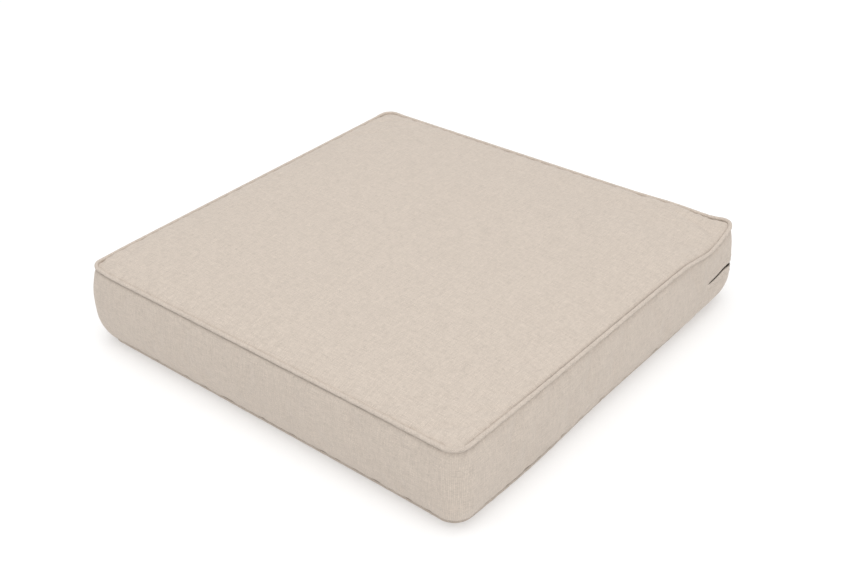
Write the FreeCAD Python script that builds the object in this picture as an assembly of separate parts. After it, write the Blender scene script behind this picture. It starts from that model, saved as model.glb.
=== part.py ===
"""Box-edged seat cushion with piped seams and a zip closure across the back.

Frame: millimetres, +Z up, origin at the middle of the underside. The front faces -Y. The zip is in the back
(+Y) and runs round the right-hand back corner on to the right side (+X).

A foam slab with a fibre wrap sits inside a sewn cover: a top panel, a bottom panel and one boxing strip that
goes all the way round, with a slit for the zip. A fabric-covered cord (the piping) is sewn into the top and the
bottom seam. At each seam the layers turn inwards and lie against each other inside the wall: from the outside
in, they are the boxing's turned edge, the piping's flange and the panel's turned edge.
"""
import FreeCAD
import Part

import math
import os

V = FreeCAD.Vector

# ---- driving dimensions ----
WIDTH = 605.0           # between the seams, along X
DEPTH = 587.0           # between the seams, along Y
CORNER_R = 18.0         # radius of the seam line at each corner
SEAM_TOP = 109.2        # height of the top of the boxing
SEAM_BOTTOM = 7.6       # height of the foot of the boxing
BULGE = 5.5             # how far the boxing stands out at mid height
CROWN = 11.0            # rise of the top panel from its rim to its middle
BASE_IN = 30.0          # from the seam in to the flat that the cushion rests on

PLY = 0.8               # thickness of one layer of cover fabric
GAP = 0.3               # air between two layers that lie on each other
ALLOWANCE = 12.0        # depth of the layers turned in at a seam
PANEL_STEP = 1.6        # height of a panel's rim beyond the boxing's edge
THREAD = 0.45           # thickness of a laid sewing thread
LAY = 0.1               # air under a thread or coil that lies on fabric

PIPE_R = 2.6            # outside radius of the piping
PIPE_SKIN = 0.55        # thickness of the fabric round the piping cord
PIPE_RISE = 2.8         # from the boxing's edge to the middle of the piping
PIPE_IN = 0.3           # from the seam line in to the middle of the piping

ZIP_Z = 58.4            # height of the zip's centre line
ZIP_LEFT_X = -268.0     # the left end of the slit, on the back
ZIP_RETURN = 73.0       # from the back round to the slit's right end, on the right side
SLIT_HALF = 4.8         # from the centre line to each folded edge along the back
SLIT_HALF_CORNER = 2.3  # the same where the back corner meets the right side
SLIT_HALF_END = 0.15    # the same at the slit's right end
HEM = 8.5               # depth of the fabric turned under along each folded edge
TOPSTITCH_IN = 5.0      # from the folded edge to its row of topstitching

TAPE_HALF = 15.0        # from the zip's centre line to the outer edge of each tape
TAPE_RISE = 6.8         # from the centre line to where the tape has come forward against the hem
TAPE = 0.6              # thickness of a tape
TAPE_OVERRUN = 8.0      # how far the tapes run on behind the fabric past the slit's right end
COIL_SINK = 2.2         # from the boxing's face in to the face of the coil
COIL_DEPTH = 1.8
COIL_HEIGHT = 2.3
CHAIN_HALF_GAP = 0.8    # half of the clear line between the two coils, which the slider's post runs in

RUNNING = 0.35          # clearance between parts that move past each other
SLIDER_FROM_END = 14.0  # from the slit's left end to the slider, with the zip shut
SLIDER_LENGTH = 11.0
SLIDER_HALF = 4.3       # half height at the slider's mouth
SLIDER_TAIL_HALF = 3.1  # half height at the end where the shut chain leaves it
PLATE = 1.1             # thickness of the slider's plates, its arch and its rims
ARCH_HALF = 3.2         # half length of the arch that holds the pull
ARCH_HEIGHT = 2.2       # its size along Z
PIVOT_R = 0.75          # radius of the pull's bar
PULL_LENGTH = 27.0
PULL_HALF = 3.3
PULL_PLATE = 1.3
PULL_HOLE_R = 1.7

STITCH = 2.8            # length of a topstitch
STITCH_PITCH = 4.0

FOAM_SIDE = 6.0         # from the seam line in to the foam at the sides
FOAM_FRONT = 16.0
FOAM_BACK = 8.0
FOAM_LOW = 18.0
FOAM_HIGH = 99.0
CORD_R = 1.75           # radius of the cord inside the piping

# ---- derived sizes ----
HALF_X = WIDTH / 2
HALF_Y = DEPTH / 2
RUN_X = HALF_X - CORNER_R        # half length of the straight part of the front and back
RUN_Y = HALF_Y - CORNER_R
BOX_MID = (SEAM_TOP + SEAM_BOTTOM) / 2
BOX_HALF = (SEAM_TOP - SEAM_BOTTOM) / 2
BOW_R = (BOX_HALF ** 2 + BULGE ** 2) / (2 * BULGE)   # radius of the boxing's curve in section
PANEL_IN = 3 * (PLY + GAP)       # from the seam line in to the outer face of a panel's turned edge
RIM_TOP = SEAM_TOP + PANEL_STEP
RIM_BOTTOM = SEAM_BOTTOM - PANEL_STEP
HEM_BACK = 2 * PLY               # depth of the back of a hem, behind the boxing's face
TAPE_FRONT = COIL_SINK + COIL_DEPTH + LAY            # depth of the tape where it carries the coil


def bow(z, inward=0.0):
    """How far the boxing stands out from the seam line at height z, or a face that much further in does."""
    return BULGE - BOW_R + math.sqrt((BOW_R - inward) ** 2 - (z - BOX_MID) ** 2)


ZIP_FACE = bow(ZIP_Z)            # the boxing's face beside the zip, out from the seam line


# ---- the seam line: a rounded rectangle that every sewn piece follows ----
# A section is drawn in the XZ plane with X pointing out from the seam line, then carried round. Each side is
# (turn about Z, start point, length), going anticlockwise seen from above.
SIDES = {
    "right": (0, V(HALF_X, -RUN_Y, 0), 2 * RUN_Y),
    "back": (90, V(RUN_X, HALF_Y, 0), 2 * RUN_X),
    "left": (180, V(-HALF_X, RUN_Y, 0), 2 * RUN_Y),
    "front": (270, V(-RUN_X, -HALF_Y, 0), 2 * RUN_X),
}
CORNERS = {
    "right_back": (0, V(RUN_X, RUN_Y, 0)),
    "back_left": (90, V(-RUN_X, RUN_Y, 0)),
    "left_front": (180, V(-RUN_X, -RUN_Y, 0)),
    "front_right": (270, V(RUN_X, -RUN_Y, 0)),
}
SLIT_RIGHT_START = 2 * RUN_Y + CORNER_R - ZIP_RETURN     # along the right side
SLIT_BACK_END = RUN_X - ZIP_LEFT_X                       # along the back


def along_side(section, side, start=0.0, end=None):
    """A section carried along one side, from start to end, measured from the side's first corner."""
    turn, origin, length = SIDES[side]
    end = length if end is None else end
    solid = section.extrude(V(0, end - start, 0))
    solid.translate(V(0, start, 0))
    solid.rotate(V(0, 0, 0), V(0, 0, 1), turn)
    solid.translate(origin)
    return solid


def round_corner(section, corner, first=0.0, last=90.0):
    """A section turned round one corner, through all or part of its quarter circle."""
    turn, centre = CORNERS[corner]
    moved = section.copy()
    moved.translate(V(CORNER_R, 0, 0))
    moved.rotate(V(0, 0, 0), V(0, 0, 1), first)
    solid = moved.revolve(V(0, 0, 0), V(0, 0, 1), last - first)
    solid.rotate(V(0, 0, 0), V(0, 0, 1), turn)
    solid.translate(centre)
    return solid


def joined(solids):
    """One solid from pieces that meet or overlap."""
    whole = solids[0].multiFuse(solids[1:]).removeSplitter()
    assert len(whole.Solids) == 1, "a piece has come apart"
    return whole.Solids[0]


def whole_loop(section):
    runs = [along_side(section, side) for side in SIDES]
    return joined(runs + [round_corner(section, corner) for corner in CORNERS])


def zip_run(section, overrun=0.0):
    """A section carried along the zip: from its right end, round the corner, along the back to its left end."""
    return joined([
        along_side(section, "right", SLIT_RIGHT_START - overrun),
        round_corner(section, "right_back"),
        along_side(section, "back", 0, SLIT_BACK_END),
    ])


# ---- sections ----
def polygon(points):
    corners = [V(x, 0, z) for x, z in points]
    return Part.Face(Part.makePolygon(corners + corners[:1]))


def rectangle(x0, x1, z0, z1):
    return polygon([(x0, z0), (x1, z0), (x1, z1), (x0, z1)])


def disc(centre, radius):
    ring = Part.makeCircle(radius, V(centre[0], 0, centre[1]), V(0, 1, 0))
    return Part.Face(Part.Wire(ring))


def fused_face(faces):
    """One section from flat faces that touch or overlap, all turned to face the same way first."""
    same_way = [face if face.normalAt(0, 0).y > 0 else face.reversed() for face in faces]
    whole = same_way[0].multiFuse(same_way[1:]).removeSplitter()
    assert len(whole.Faces) == 1, "a section has come apart"
    return whole.Faces[0]


def bowed_strip(z0, z1, outer, inner):
    """A layer of the wall from z0 to z1, between two faces that are this far in from the wall's outer face."""
    def point(z, inward):
        return V(bow(z, inward), 0, z)
    middle = (z0 + z1) / 2
    out_arc = Part.Arc(point(z0, outer), point(middle, outer), point(z1, outer)).toShape()
    in_arc = Part.Arc(point(z1, inner), point(middle, inner), point(z0, inner)).toShape()
    top = Part.LineSegment(point(z1, outer), point(z1, inner)).toShape()
    foot = Part.LineSegment(point(z0, inner), point(z0, outer)).toShape()
    return Part.Face(Part.Wire([out_arc, top, in_arc, foot]))


def seam_edge(at_top):
    """The height of a seam and the way from it into the cushion."""
    return (SEAM_TOP, -1) if at_top else (SEAM_BOTTOM, 1)


def turned_edge(at_top):
    """The boxing's edge at a seam: the fold over the wall and the layer that turns back inside it."""
    edge, way = seam_edge(at_top)
    outer = -PLY - GAP
    fold = rectangle(outer - PLY, 0, *sorted((edge, edge + way * PLY)))
    layer = rectangle(outer - PLY, outer, *sorted((edge, edge + way * ALLOWANCE)))
    return [fold, layer]


# ---- cover ----
def rounded_prism(inset, z0, z1):
    """An upright block with the seam line's outline, this far inside it."""
    hx, hy, r = HALF_X - inset, HALF_Y - inset, max(CORNER_R - inset, 1.0)
    block = Part.makeBox(2 * hx, 2 * hy, z1 - z0, V(-hx, -hy, z0))
    upright = [e for e in block.Edges if abs(e.Vertexes[0].Z - e.Vertexes[1].Z) > (z1 - z0) / 2]
    return block.makeFillet(r, upright)


def panel_skirt(z0, z1):
    """A panel's turned edge: the innermost upright layer of the seam."""
    return rounded_prism(PANEL_IN, z0, z1).cut(rounded_prism(PANEL_IN + PLY, z0 - 1, z1 + 1))


DOME_DEGREE = 8         # the higher it is, the steeper the crown's edge and the flatter its middle


def dome_face(inset, rim_z):
    """A pillowed rectangle: rim_z high all round its rim, rising from it to a nearly flat middle."""
    hx, hy = HALF_X - inset, HALF_Y - inset
    surface = Part.BezierSurface()
    surface.increase(DOME_DEGREE, DOME_DEGREE)
    for i in range(DOME_DEGREE + 1):
        for j in range(DOME_DEGREE + 1):
            on_rim = i in (0, DOME_DEGREE) or j in (0, DOME_DEGREE)
            x = hx * (2 * i / DOME_DEGREE - 1)
            y = hy * (2 * j / DOME_DEGREE - 1)
            surface.setPole(i + 1, j + 1, V(x, y, rim_z if on_rim else rim_z + CROWN))
    return surface.toShape()


def make_top_panel():
    sheet = dome_face(PANEL_IN, RIM_TOP).extrude(V(0, 0, -PLY))
    sheet = sheet.common(rounded_prism(PANEL_IN, SEAM_TOP, SEAM_TOP + 2 * CROWN))
    return joined([sheet, panel_skirt(SEAM_TOP - ALLOWANCE, RIM_TOP - PLY / 2)])


def base_tray(offset, z_low, z_high):
    """A shallow tray: the seam's outline at z_high, drawn in to the flat of the underside at z_low."""
    def outline(inset, z):
        foot = min(rounded_prism(inset, z, z + 1).Faces, key=lambda face: face.CenterOfMass.z)
        return foot.OuterWire
    return Part.makeLoft([outline(BASE_IN + offset, z_low), outline(PANEL_IN + offset, z_high)], True, True)


def make_bottom_panel():
    tray = base_tray(0, 0, RIM_BOTTOM).cut(base_tray(GAP, PLY, RIM_BOTTOM + PLY))
    return joined([tray, panel_skirt(RIM_BOTTOM, SEAM_BOTTOM + ALLOWANCE)])


def slit():
    """The gap between the folded edges: even along the back, closing to nothing round the corner and the side."""
    reach = 3 * BULGE                # how far the cut reaches each side of the seam line
    bend = RUN_X - 4.0               # where the gap starts to close
    back = Part.makeBox(bend - ZIP_LEFT_X, 2 * reach, 2 * SLIT_HALF,
                        V(ZIP_LEFT_X, HALF_Y - reach, ZIP_Z - SLIT_HALF))
    corner = polygon([
        (bend, ZIP_Z - SLIT_HALF), (HALF_X + reach, ZIP_Z - SLIT_HALF_CORNER),
        (HALF_X + reach, ZIP_Z + SLIT_HALF_CORNER), (bend, ZIP_Z + SLIT_HALF),
    ]).extrude(V(0, CORNER_R + reach, 0))
    corner.translate(V(0, RUN_Y, 0))
    end_y = HALF_Y - ZIP_RETURN
    taper = [V(HALF_X - reach, end_y, ZIP_Z - SLIT_HALF_END), V(HALF_X - reach, RUN_Y, ZIP_Z - SLIT_HALF_CORNER),
             V(HALF_X - reach, RUN_Y, ZIP_Z + SLIT_HALF_CORNER), V(HALF_X - reach, end_y, ZIP_Z + SLIT_HALF_END)]
    side = Part.Face(Part.makePolygon(taper + taper[:1])).extrude(V(2 * reach, 0, 0))
    return joined([back, corner, side])


def make_boxing():
    """The wall, its turned edges and the hems beside the slit, less the slit itself.

    The strip's two ends are joined by an upright seam on the back, at the slit's left end.
    """
    wall = fused_face([bowed_strip(SEAM_BOTTOM, SEAM_TOP, 0, PLY)] + turned_edge(True) + turned_edge(False))
    hem_reach = SLIT_HALF + HEM
    hem = bowed_strip(ZIP_Z - hem_reach, ZIP_Z + hem_reach, PLY, HEM_BACK)
    loop = [along_side(wall, side) for side in ("right", "left", "front")]
    loop += [round_corner(wall, corner) for corner in CORNERS]
    loop += [along_side(wall, "back", 0, SLIT_BACK_END), along_side(wall, "back", SLIT_BACK_END + GAP)]
    return joined(loop + [zip_run(hem)]).cut(slit()).Solids[0]


# ---- piping ----
def pipe_centre(at_top):
    edge, way = seam_edge(at_top)
    return (-PIPE_IN, edge - way * PIPE_RISE)


def pipe_cover_section(at_top):
    """The fabric round the cord, and its flange between the boxing's turned edge and the panel's."""
    centre = pipe_centre(at_top)
    edge, way = seam_edge(at_top)
    outer = -2 * (PLY + GAP)
    flange = rectangle(outer - PLY, outer, *sorted((edge + way * ALLOWANCE, centre[1])))
    whole = fused_face([disc(centre, PIPE_R), flange])
    return whole.cut(disc(centre, PIPE_R - PIPE_SKIN)).Faces[0]


def seam_thread_section(at_top):
    """The seam's line of stitching, laid on the inner face of the panel's turned edge."""
    edge, way = seam_edge(at_top)
    face = -PANEL_IN - PLY - LAY
    height = edge + way * ALLOWANCE / 4
    return rectangle(face - THREAD, face, height - THREAD / 2, height + THREAD / 2)


# ---- zip ----
def beside_zip(points, upper):
    """A section from points given as (depth behind the boxing's face, distance from the zip's centre line).

    Points behind the hem follow the boxing's curve; nearer ones keep the line that the slider runs on.
    """
    def place(depth, height):
        z = ZIP_Z + height if upper else ZIP_Z - height
        face = bow(z) if height >= TAPE_RISE else ZIP_FACE
        return face - depth, z
    return polygon([place(*point) for point in points])


def tape_section(upper):
    """A woven tape: it carries the coil, then steps forward to where it is sewn against the hem."""
    hem_side = HEM_BACK + GAP
    return beside_zip([
        (TAPE_FRONT, CHAIN_HALF_GAP), (TAPE_FRONT, SLIDER_HALF + GAP), (hem_side, TAPE_RISE), (hem_side, TAPE_HALF),
        (hem_side + TAPE, TAPE_HALF), (hem_side + TAPE, TAPE_RISE + GAP), (TAPE_FRONT + TAPE, SLIDER_HALF + 2 * GAP),
        (TAPE_FRONT + TAPE, CHAIN_HALF_GAP),
    ], upper)


def coil_section(upper):
    """One side of the coil chain, with its outer corner taken off."""
    far = CHAIN_HALF_GAP + COIL_HEIGHT
    back = COIL_SINK + COIL_DEPTH
    bevel = COIL_DEPTH / 3
    return beside_zip([
        (COIL_SINK, CHAIN_HALF_GAP), (COIL_SINK, far - bevel), (COIL_SINK + bevel, far),
        (back, far), (back, CHAIN_HALF_GAP),
    ], upper)


BARTACK = (7.5, 13.0)   # from and to, out from the zip's centre line
BARTACK_LENGTH = 2.0


def make_bartacks():
    """A bar of dense stitching on the back of each tape, at both ends of the zip."""
    front = HEM_BACK + GAP + TAPE + LAY
    back = front + 2 * THREAD
    low, high = BARTACK
    tacks = []
    for upper in (True, False):
        section = beside_zip([(front, low), (front, high), (back, high), (back, low)], upper)
        right = SLIT_RIGHT_START + BARTACK_LENGTH
        left = SLIT_BACK_END - 2 * BARTACK_LENGTH
        tacks.append(along_side(section, "right", right, right + BARTACK_LENGTH))
        tacks.append(along_side(section, "back", left, left + BARTACK_LENGTH))
    return Part.makeCompound(tacks)


# ---- slider and pull ----
SLIDER_X = ZIP_LEFT_X + SLIDER_FROM_END              # middle of the slider, with the zip shut
SLIDER_BACK = COIL_SINK - RUNNING                    # depth of the outer plate's inner face
SLIDER_FACE = SLIDER_BACK - PLATE                    # depth of its outer face
PIVOT_DEPTH = SLIDER_FACE - PIVOT_R - RUNNING        # depth of the pull's pivot
ARCH_INNER = PIVOT_DEPTH - PIVOT_R - RUNNING         # depth of the underside of the arch


def zip_y(depth):
    """The Y of a point this far behind the back boxing's face beside the zip."""
    return HALF_Y + ZIP_FACE - depth


def zip_block(x0, x1, depth0, depth1, z0, z1):
    """A block beside the zip: X from the slider's middle, depth behind the boxing's face, Z from the centre line."""
    return Part.makeBox(x1 - x0, depth1 - depth0, z1 - z0, V(SLIDER_X + x0, zip_y(depth1), ZIP_Z + z0))


def edges_along_y(solid):
    return [e for e in solid.Edges if abs(e.tangentAt(e.FirstParameter).y) > 0.99]


def slider_plate(depth0):
    """One of the slider's two plates: broad at its mouth, narrower at its tail."""
    half = SLIDER_LENGTH / 2
    upper = [(half, SLIDER_TAIL_HALF), (0, SLIDER_HALF), (-half, SLIDER_HALF)]
    outline = upper + [(x, -z) for x, z in reversed(upper)]
    points = [V(SLIDER_X + x, zip_y(depth0 + PLATE), ZIP_Z + z) for x, z in outline]
    plate = Part.Face(Part.makePolygon(points + points[:1])).extrude(V(0, PLATE, 0))
    return plate.makeFillet(0.8, edges_along_y(plate))


def slider_arch():
    """The loop on the outer plate that the pull's bar lies in."""
    arch = zip_block(-ARCH_HALF, ARCH_HALF, ARCH_INNER - PLATE, SLIDER_FACE + LAY, -ARCH_HEIGHT / 2, ARCH_HEIGHT / 2)
    outer_y = zip_y(ARCH_INNER - PLATE)
    shoulders = [e for e in arch.Edges
                 if abs(e.tangentAt(e.FirstParameter).z) > 0.99 and abs(e.CenterOfMass.y - outer_y) < LAY]
    eye_half = ARCH_HALF - PLATE
    return arch.makeFillet(PLATE, shoulders).cut(
        zip_block(-eye_half, eye_half, ARCH_INNER, SLIDER_FACE, -ARCH_HEIGHT, ARCH_HEIGHT))


def make_slider():
    """Two plates round the chain, the post that parts it, the side rims and the arch."""
    inner_face = TAPE_FRONT + TAPE + RUNNING
    post_half = CHAIN_HALF_GAP - RUNNING
    coil_far = CHAIN_HALF_GAP + COIL_HEIGHT + RUNNING
    mouth = -SLIDER_LENGTH / 2 + 1.5
    solids = [slider_plate(SLIDER_FACE), slider_plate(inner_face), slider_arch()]
    solids.append(zip_block(mouth, mouth + 3.0, SLIDER_BACK - LAY, inner_face + LAY, -post_half, post_half))
    for z0, z1 in ((-SLIDER_HALF, -coil_far), (coil_far, SLIDER_HALF)):
        solids.append(zip_block(mouth, mouth + 4.0, SLIDER_BACK - LAY, COIL_SINK + COIL_DEPTH - RUNNING, z0, z1))
    return joined(solids)


def make_pull():
    """The pull: a bar through the arch, a leg each side of it and a rounded tab with a grip hole."""
    front, back = PIVOT_DEPTH - PULL_PLATE / 2, PIVOT_DEPTH + PULL_PLATE / 2
    leg_in = ARCH_HEIGHT / 2 + RUNNING
    leg_length = ARCH_HALF + 2.6
    bar = Part.makeCylinder(PIVOT_R, 2 * PULL_HALF - LAY, V(SLIDER_X, zip_y(PIVOT_DEPTH), ZIP_Z - PULL_HALF + LAY / 2))
    tab = zip_block(ARCH_HALF + 1.8, PULL_LENGTH, front, back, -PULL_HALF, PULL_HALF)
    far = [e for e in edges_along_y(tab) if e.CenterOfMass.x > SLIDER_X + PULL_LENGTH / 2]
    tab = tab.makeFillet(PULL_HALF - 0.3, far)
    hole = Part.makeCylinder(PULL_HOLE_R, 2 * PULL_PLATE,
                             V(SLIDER_X + PULL_LENGTH - 3 * PULL_HOLE_R, zip_y(back) - PLATE / 2, ZIP_Z), V(0, 1, 0))
    legs = [zip_block(0, leg_length, front, back, z0, z1) for z0, z1 in ((-PULL_HALF, -leg_in), (leg_in, PULL_HALF))]
    return joined([bar, tab.cut(hole)] + legs)


# ---- topstitching ----
def stitch_section(height):
    """The end view of a stitch that lies on the boxing's face at this height."""
    low, high = height - THREAD / 2, height + THREAD / 2
    face = max(bow(low), bow(high)) + LAY
    return rectangle(face, face + THREAD, low, high)


def stitch_row(height):
    """Separate stitches at one height, all the way along the zip."""
    section = stitch_section(height)
    stitches = []

    def along(side, start, end):
        for i in range(int((end - start) / STITCH_PITCH)):
            at = start + i * STITCH_PITCH
            stitches.append(along_side(section, side, at, at + STITCH))

    along("right", SLIT_RIGHT_START + STITCH, 2 * RUN_Y)
    along("back", 0, SLIT_BACK_END - STITCH)
    count = int(math.radians(90) * (CORNER_R + BULGE) / STITCH_PITCH)
    step = 90 / count
    for i in range(count):
        stitches.append(round_corner(section, "right_back", i * step, (i + STITCH / STITCH_PITCH) * step))
    return Part.makeCompound(stitches)


# ---- filling ----
def make_foam():
    """The slab, with its upright corners rounded where the cover presses on them."""
    slab = Part.makeBox(2 * (HALF_X - FOAM_SIDE), DEPTH - FOAM_FRONT - FOAM_BACK, FOAM_HIGH - FOAM_LOW,
                        V(-HALF_X + FOAM_SIDE, -HALF_Y + FOAM_FRONT, FOAM_LOW))
    upright = [e for e in slab.Edges if abs(e.tangentAt(e.FirstParameter).z) > 0.99]
    return slab.makeFillet(CORNER_R - FOAM_SIDE, upright)


def make_fibre_wrap():
    """A thick fibre sheet round the foam: across its top, down its front and back under it."""
    inset = PANEL_IN + PLY + THREAD + 2 * GAP
    top = dome_face(inset, RIM_TOP - PLY - GAP).extrude(V(0, 0, -4 * CROWN))
    top = top.common(rounded_prism(inset, FOAM_HIGH + GAP, SEAM_TOP + 2 * CROWN))
    front = Part.makeBox(2 * RUN_X, FOAM_FRONT - GAP, SEAM_TOP - SEAM_BOTTOM, V(-RUN_X, -HALF_Y, SEAM_BOTTOM))
    front = front.common(rounded_prism(inset, SEAM_BOTTOM, SEAM_TOP))
    under = rounded_prism(inset, SEAM_BOTTOM, FOAM_LOW - GAP)
    low = rounded_prism(BASE_IN + 2 * GAP, PLY + GAP, SEAM_BOTTOM)
    return joined([top, front, under, low])


def make_parts():
    stitch_out = SLIT_HALF + TOPSTITCH_IN
    return {
        "top_panel": make_top_panel(),
        "bottom_panel": make_bottom_panel(),
        "boxing": make_boxing(),
        "top_piping_cover": whole_loop(pipe_cover_section(True)),
        "top_piping_cord": whole_loop(disc(pipe_centre(True), CORD_R)),
        "top_seam_thread": whole_loop(seam_thread_section(True)),
        "bottom_piping_cover": whole_loop(pipe_cover_section(False)),
        "bottom_piping_cord": whole_loop(disc(pipe_centre(False), CORD_R)),
        "bottom_seam_thread": whole_loop(seam_thread_section(False)),
        "zip_tape_upper": zip_run(tape_section(True), TAPE_OVERRUN),
        "zip_tape_lower": zip_run(tape_section(False), TAPE_OVERRUN),
        "zip_coil_upper": zip_run(coil_section(True)),
        "zip_coil_lower": zip_run(coil_section(False)),
        "zip_slider": make_slider(),
        "zip_pull": make_pull(),
        "zip_topstitch_upper": stitch_row(ZIP_Z + stitch_out),
        "zip_topstitch_lower": stitch_row(ZIP_Z - stitch_out),
        "zip_bartacks": make_bartacks(),
        "foam_core": make_foam(),
        "fibre_wrap": make_fibre_wrap(),
    }


os.makedirs("parts", exist_ok=True)
for name, shape in make_parts().items():
    assert shape.isValid(), name
    shape.exportStep(os.path.join("parts", name + ".step"))
    print(f"{name:20s} {len(shape.Solids):4d} solids  {shape.Volume / 1000:10.2f} cm3")
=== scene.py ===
import math

import bpy
import numpy as np
from mathutils import Matrix, Vector


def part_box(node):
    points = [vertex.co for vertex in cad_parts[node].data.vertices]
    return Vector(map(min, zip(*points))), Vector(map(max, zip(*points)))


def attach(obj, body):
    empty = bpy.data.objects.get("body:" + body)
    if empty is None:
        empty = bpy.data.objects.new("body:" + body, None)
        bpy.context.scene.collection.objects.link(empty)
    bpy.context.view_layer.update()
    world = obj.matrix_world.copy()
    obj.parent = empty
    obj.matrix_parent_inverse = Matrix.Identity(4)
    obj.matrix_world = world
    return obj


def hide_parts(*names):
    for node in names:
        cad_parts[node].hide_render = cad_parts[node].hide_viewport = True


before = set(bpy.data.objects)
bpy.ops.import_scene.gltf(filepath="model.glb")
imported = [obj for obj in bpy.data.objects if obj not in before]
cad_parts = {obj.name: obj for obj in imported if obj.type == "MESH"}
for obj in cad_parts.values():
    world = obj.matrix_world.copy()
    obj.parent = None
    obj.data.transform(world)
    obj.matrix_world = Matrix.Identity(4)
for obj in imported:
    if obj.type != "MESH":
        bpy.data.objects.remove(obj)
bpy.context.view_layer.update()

MM = 0.001

# ---- sizes taken from the frame ----
PIPE_R = 2.6 * MM
PIPE_IN = 0.3 * MM               # from the seam line in to the middle of the piping
_, pipe_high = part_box("top_piping_cover")
box_low, box_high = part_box("boxing")
slider_low, slider_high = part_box("zip_slider")
coil_low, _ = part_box("zip_coil_upper")
HALF_X = pipe_high.x - PIPE_R + PIPE_IN
HALF_Y = pipe_high.y - PIPE_R + PIPE_IN
SEAM_LOW, SEAM_HIGH = box_low.z, box_high.z
BULGE = box_high.x - HALF_X      # how far the boxing stands out at mid height
ZIP_Z = (slider_low.z + slider_high.z) / 2
ZIP_LEFT_X = coil_low.x          # the slit's left end, on the back
SLIT_END_Y = coil_low.y          # its right end, on the right side
WIDTH = 2 * pipe_high.x          # over the piping

# ---- sizes of the sewn shape ----
CORNER_R = 18 * MM               # radius of the seam line at each corner
PLY = 0.8 * MM
BOX_MID = (SEAM_LOW + SEAM_HIGH) / 2
BOX_HALF = (SEAM_HIGH - SEAM_LOW) / 2
BOW_R = (BOX_HALF ** 2 + BULGE ** 2) / (2 * BULGE)
SIDE_CELLS = 104                 # cells of the net along each side
DOME_POWER = 8                   # how flat the crown's middle is
CROWN = 8.5 * MM                 # rise of the top panel before it is inflated
CURL_HEIGHT = 28 * MM            # below this the boxing curls under,
CURL_MORE = 9 * MM               # a little higher at the corners
CURL = 8.5 * MM                  # how far its foot is drawn in
CURL_RADIUS = 12 * MM            # how much rounder the bottom corners are
EARS = (1.2 * MM, 0.6 * MM, 5.0 * MM, 1.0 * MM)   # how far each top corner turns up, from the front left
EAR_REACH = 21 * MM
SAG_DOWN, SAG_OUT = 5.5 * MM, 3.0 * MM            # the dent in the right edge, short of its back corner
SAG_AT, SAG_REACH = 66 * MM, 40 * MM
HUMP, HUMP_AT, HUMP_REACH = 1.8 * MM, 85 * MM, 45 * MM  # a slight rise of the top seam along the back
TUCK, TUCK_REACH = 2.5 * MM, 30 * MM              # how far the front left corner is drawn in
CORNER_REACH = 60 * MM           # how far round a corner the boxing curls higher
FOOT_DROP = 2.6 * MM             # how far the foot sinks as it curls under
BOXING_SWELL, TOP_SWELL, BOTTOM_SWELL = 3.0 * MM, 6.5 * MM, 4.0 * MM   # most that inflating may move each
SLIT_LIFT = 4 * MM               # how much higher the slit is pulled where it turns the corner
SLIT_LIFT_AT, SLIT_LIFT_REACH = 21 * MM, 20 * MM  # before the corner's end, round the seam
BASE_REACH = 34 * MM             # from the bottom seam in to the flat of the underside
SLIT_HALF = 4.8 * MM             # from the zip's centre line to each folded edge along the back
SLIT_HALF_CORNER = 2.3 * MM
SLIT_HALF_SIDE = 1.2 * MM
FOLD_R = 0.9 * MM
PRESS = 0.5 * MM                 # how far the boxing is pressed in where the pull swings over it
PRESS_AT, PRESS_REACH = 3 * MM, 8 * MM
PRESS_HIGH = 12 * MM             # how far above and below the zip it is pressed in
PULL_REACH = 24 * MM             # how far past the slit's left end the pull swings over the boxing

rng = np.random.default_rng(7)


# ---- small tools ----
def smooth(x):
    """A soft step: 0 up to 0, 1 from 1 on."""
    x = np.clip(x, 0, 1)
    return x * x * (3 - 2 * x)


def bow(z):
    """How far the boxing stands out from the seam line at a height."""
    return BULGE - BOW_R + np.sqrt(BOW_R ** 2 - (z - BOX_MID) ** 2)


def unit(vectors):
    """The same rows of vectors, each with length 1."""
    return vectors / np.linalg.norm(vectors, axis=-1, keepdims=True)


def square_to(vectors, ahead):
    """The part of each vector that is square to ahead, with length 1."""
    return unit(vectors - (vectors * ahead).sum(1, keepdims=True) * ahead)


def distance_along(path):
    """Distance from a path's first point to each of its points."""
    return np.concatenate([[0], np.cumsum(np.linalg.norm(np.diff(path, axis=0), axis=1))])


def closed_columns(index):
    """The same grid with its first column again at the end."""
    return np.concatenate([index, index[:, :1]], axis=1)


def rings(path, across, other, sides, radii):
    """Points of a tube: one ring of sides points round each point of its path."""
    angle = np.linspace(0, 2 * math.pi, sides, endpoint=False)
    ring = across[:, None] * np.cos(angle)[None, :, None] + other[:, None] * np.sin(angle)[None, :, None]
    return path[:, None] + ring * radii


def ripple(at, waves, seed):
    """A smooth random wave along a line, about -1 to 1, with wavelengths between the two in waves."""
    source = np.random.default_rng(seed)
    total = np.zeros_like(at)
    count = 14
    for _ in range(count):
        length = source.uniform(*waves)
        total += np.sin(2 * math.pi * (at / length + source.uniform()))
    return total / math.sqrt(count)


def finer(points, closed=False):
    """The same grid with a point added between each two along its first axis, on a smooth curve."""
    if closed:
        before, after, after2 = np.roll(points, 1, 0), np.roll(points, -1, 0), np.roll(points, -2, 0)
        middle = (9 * (points + after) - before - after2) / 16
        out = np.empty((2 * len(points),) + points.shape[1:])
        out[0::2], out[1::2] = points, middle
        return out
    padded = np.concatenate([2 * points[:1] - points[1:2], points, 2 * points[-1:] - points[-2:-1]])
    middle = (9 * (padded[1:-2] + padded[2:-1]) - padded[:-3] - padded[3:]) / 16
    out = np.empty((2 * len(points) - 1,) + points.shape[1:])
    out[0::2], out[1::2] = points, middle
    return out


def finer_both(grid, closed=False):
    fine = finer(np.swapaxes(finer(grid), 0, 1), closed)
    return np.swapaxes(fine, 0, 1)


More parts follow.
